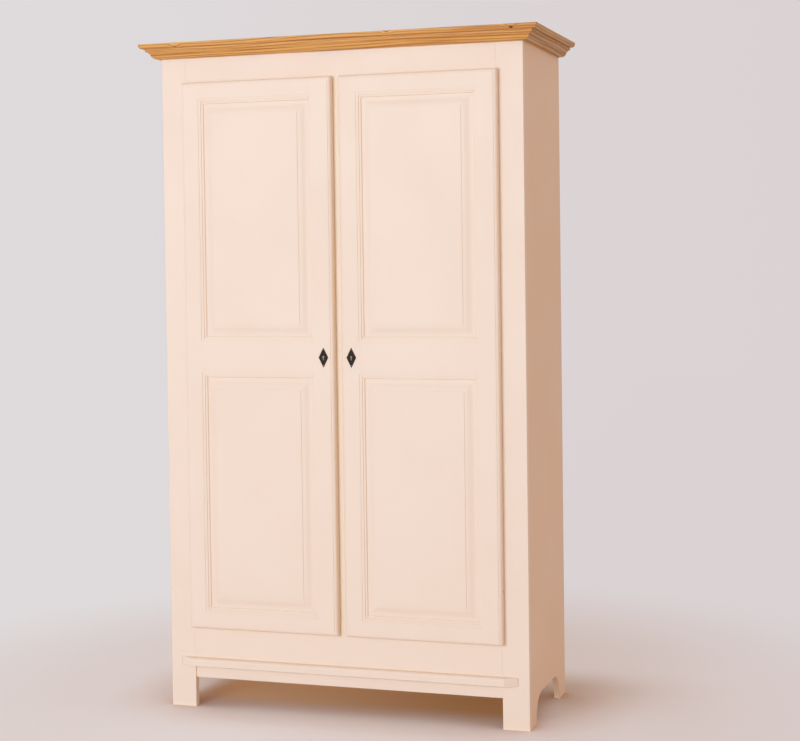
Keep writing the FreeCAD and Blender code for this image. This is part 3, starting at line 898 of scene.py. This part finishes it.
def seenDirectly(tree):
    path = addNode(tree, "ShaderNodeLightPath")
    both = maths(tree, "MAXIMUM", path.outputs["Is Camera Ray"], path.outputs["Is Glossy Ray"])
    return maths(tree, "MAXIMUM", both, path.outputs["Is Transmission Ray"])


def backdropColour(tree, direction):
    # a backdrop that turns from cool to rosy from left to right
    look = stageLook
    across = vectorMaths(tree, "NORMALIZE", direction).outputs[0]
    x = addNode(tree, "ShaderNodeSeparateXYZ", {"Vector": across}).outputs["X"]
    turn = spread(tree, x, *look["backdropTurn"])
    return mixColour(tree, turn, look["backdropLeft"], look["backdropRight"])


def shadeUnder(tree, parts):
    # the painted brown shade that the floor takes under the wardrobe, and a mask that is 1 there
    look = stageLook
    across = spread(tree, maths(tree, "ABSOLUTE", parts["X"]), *look["underSides"], 1.0, 0.0)
    front = spread(tree, parts["Y"], *look["underFront"])
    back = spread(tree, parts["Y"], *look["underBack"], 1.0, 0.0)
    deep = maths(tree, "MULTIPLY", front, back)
    turn = spread(tree, parts["X"], *look["underTurn"])
    paintedUnderShade = mixColour(tree, turn, look["underShadeLeft"], look["underShadeRight"])
    return paintedUnderShade, maths(tree, "MULTIPLY", across, deep)


def softShadow(tree, parts, outside):
    # a mask that is 1 where the wardrobe's shadow lies on the floor beside and behind it
    look = stageLook
    beside = spread(tree, parts["X"], *look["shadowRight"], 1.0, 0.0)
    beside = maths(tree, "MULTIPLY", beside, spread(tree, parts["X"], *look["shadowLeft"]))
    behind = spread(tree, parts["Y"], *look["shadowFront"])
    away = spread(tree, parts["Y"], *look["shadowBack"], 1.0, 0.0)
    behind = maths(tree, "MULTIPLY", behind, away)
    return maths(tree, "MULTIPLY", maths(tree, "MULTIPLY", beside, behind), outside)


def makeFloor():
    # a pale floor that fades into the backdrop, with the brown shade and the soft shadow on it
    look = stageLook
    deselectAll()
    bpy.ops.mesh.primitive_circle_add(
        vertices=96, radius=look["floorRadius"], fill_type="NGON", location=(0, 0, 0))
    floor = newest("studio_floor")
    material, tree = startMaterial("pale floor")
    place = addNode(tree, "ShaderNodeTexCoord").outputs["Object"]
    cloud = noiseAt(tree, place, look["cloudScale"], detail=4.0, roughness=0.6)
    clouds = spread(tree, cloud, *look["cloudLimits"])
    pale = mixColour(tree, clouds, look["floor"], look["floorCloud"])
    free = openness(tree, look["contactReach"], look["openSamples"])
    parts = addNode(tree, "ShaderNodeSeparateXYZ", {"Vector": place}).outputs
    paintedUnderShade, under = shadeUnder(tree, parts)
    outside = maths(tree, "SUBTRACT", 1.0, under)
    # painted contact shadow: the floor darkens where the AO node finds the wardrobe close by, outside the
    # shade under it
    closed = spread(tree, free, *look["contactLimits"], 1.0, 0.0)
    paintedNearShadow = maths(tree, "MULTIPLY", closed, outside)
    pale = mixColour(tree, paintedNearShadow, pale, look["contactShadow"], "MULTIPLY")
    pale = mixColour(tree, under, pale, paintedUnderShade, "MULTIPLY")
    shadow = softShadow(tree, parts, outside)
    pale = mixColour(tree, shadow, pale, look["shadow"], "MULTIPLY")
    pale = mixColour(tree, seenDirectly(tree), look["floorBounce"], pale)
    distance = vectorMaths(tree, "LENGTH", place).outputs["Value"]
    fade = spread(tree, distance, *look["fade"], look["haze"], 1.0)
    fade = maths(tree, "MULTIPLY", fade, spread(tree, free, *look["hazeLimits"]))
    fade = maths(tree, "MULTIPLY", fade, outside)
    fade = maths(tree, "MULTIPLY", fade, maths(tree, "SUBTRACT", 1.0, shadow))
    fade = maths(tree, "MULTIPLY", fade, seenDirectly(tree))
    near = addNode(tree, "ShaderNodeBsdfDiffuse", {"Color": pale}).outputs[0]
    inputs = {"Color": backdropColour(tree, place), "Strength": 1.0}
    far = addNode(tree, "ShaderNodeEmission", inputs).outputs[0]
    mixed = addNode(tree, "ShaderNodeMixShader", {0: fade, 1: near, 2: far}).outputs[0]
    output = addNode(tree, "ShaderNodeOutputMaterial")
    tree.links.new(mixed, output.inputs["Surface"])
    floor.data.materials.append(material)


def makeLight():
    # an even warm fill, the backdrop where the camera looks and one broad lamp in front on the left
    look = lightLook
    world.use_nodes = True
    tree = world.node_tree
    tree.nodes.clear()
    heading = addNode(tree, "ShaderNodeTexCoord").outputs["Generated"]
    height = addNode(tree, "ShaderNodeSeparateXYZ", {"Vector": heading}).outputs["Z"]
    above = spread(tree, height, *look["fillTurn"])
    around = mixColour(tree, above, look["fill"], look["fillAbove"])
    fill = addNode(tree, "ShaderNodeBackground", {"Color": around, "Strength": 1.0}).outputs[0]
    inputs = {"Color": backdropColour(tree, heading), "Strength": 1.0}
    seen = addNode(tree, "ShaderNodeBackground", inputs).outputs[0]
    inputs = {0: seenDirectly(tree), 1: fill, 2: seen}
    mixed = addNode(tree, "ShaderNodeMixShader", inputs).outputs[0]
    output = addNode(tree, "ShaderNodeOutputWorld")
    tree.links.new(mixed, output.inputs["Surface"])
    lamp = bpy.data.lights.new("key", "AREA")
    lamp.energy = look["keyPower"]
    lamp.color = look["key"]
    lamp.shape = "DISK"
    lamp.size = look["keySize"]
    key = bpy.data.objects.new("key", lamp)
    key.location = look["keyPlace"]
    away = Vector(look["keyPlace"]) - Vector(look["keyAim"])
    key.rotation_euler = away.to_track_quat("Z", "Y").to_euler()
    key.visible_camera = False
    bpy.context.collection.objects.link(key)


# turns in degrees, sensor and lens in millimetres, shift as a share of the width
cameraLook = {
    "place": (1.6836, -4.7878, 1.3315),
    "yaw": 18.103,
    "pitch": -1.780,
    "roll": -0.756,
    "sensor": 36,
    "lens": 76.48,
    "shift": -0.0756,
}


def makeCamera():
    look = cameraLook
    data = bpy.data.cameras.new("photoView")
    data.sensor_width = look["sensor"]
    data.lens = look["lens"]
    data.shift_y = look["shift"]
    camera = bpy.data.objects.new("photoView", data)
    turn = Matrix.Rotation(math.radians(look["yaw"]), 4, "Z")
    turn = turn @ Matrix.Rotation(math.radians(90 + look["pitch"]), 4, "X")
    turn = turn @ Matrix.Rotation(math.radians(look["roll"]), 4, "Z")
    camera.location = look["place"]
    camera.rotation_euler = turn.to_euler()
    bpy.context.collection.objects.link(camera)
    bpy.context.scene.camera = camera


makeFloor()
makeLight()
makeCamera()
bpy.context.scene.view_settings.view_transform = "Standard"
print("stage done")
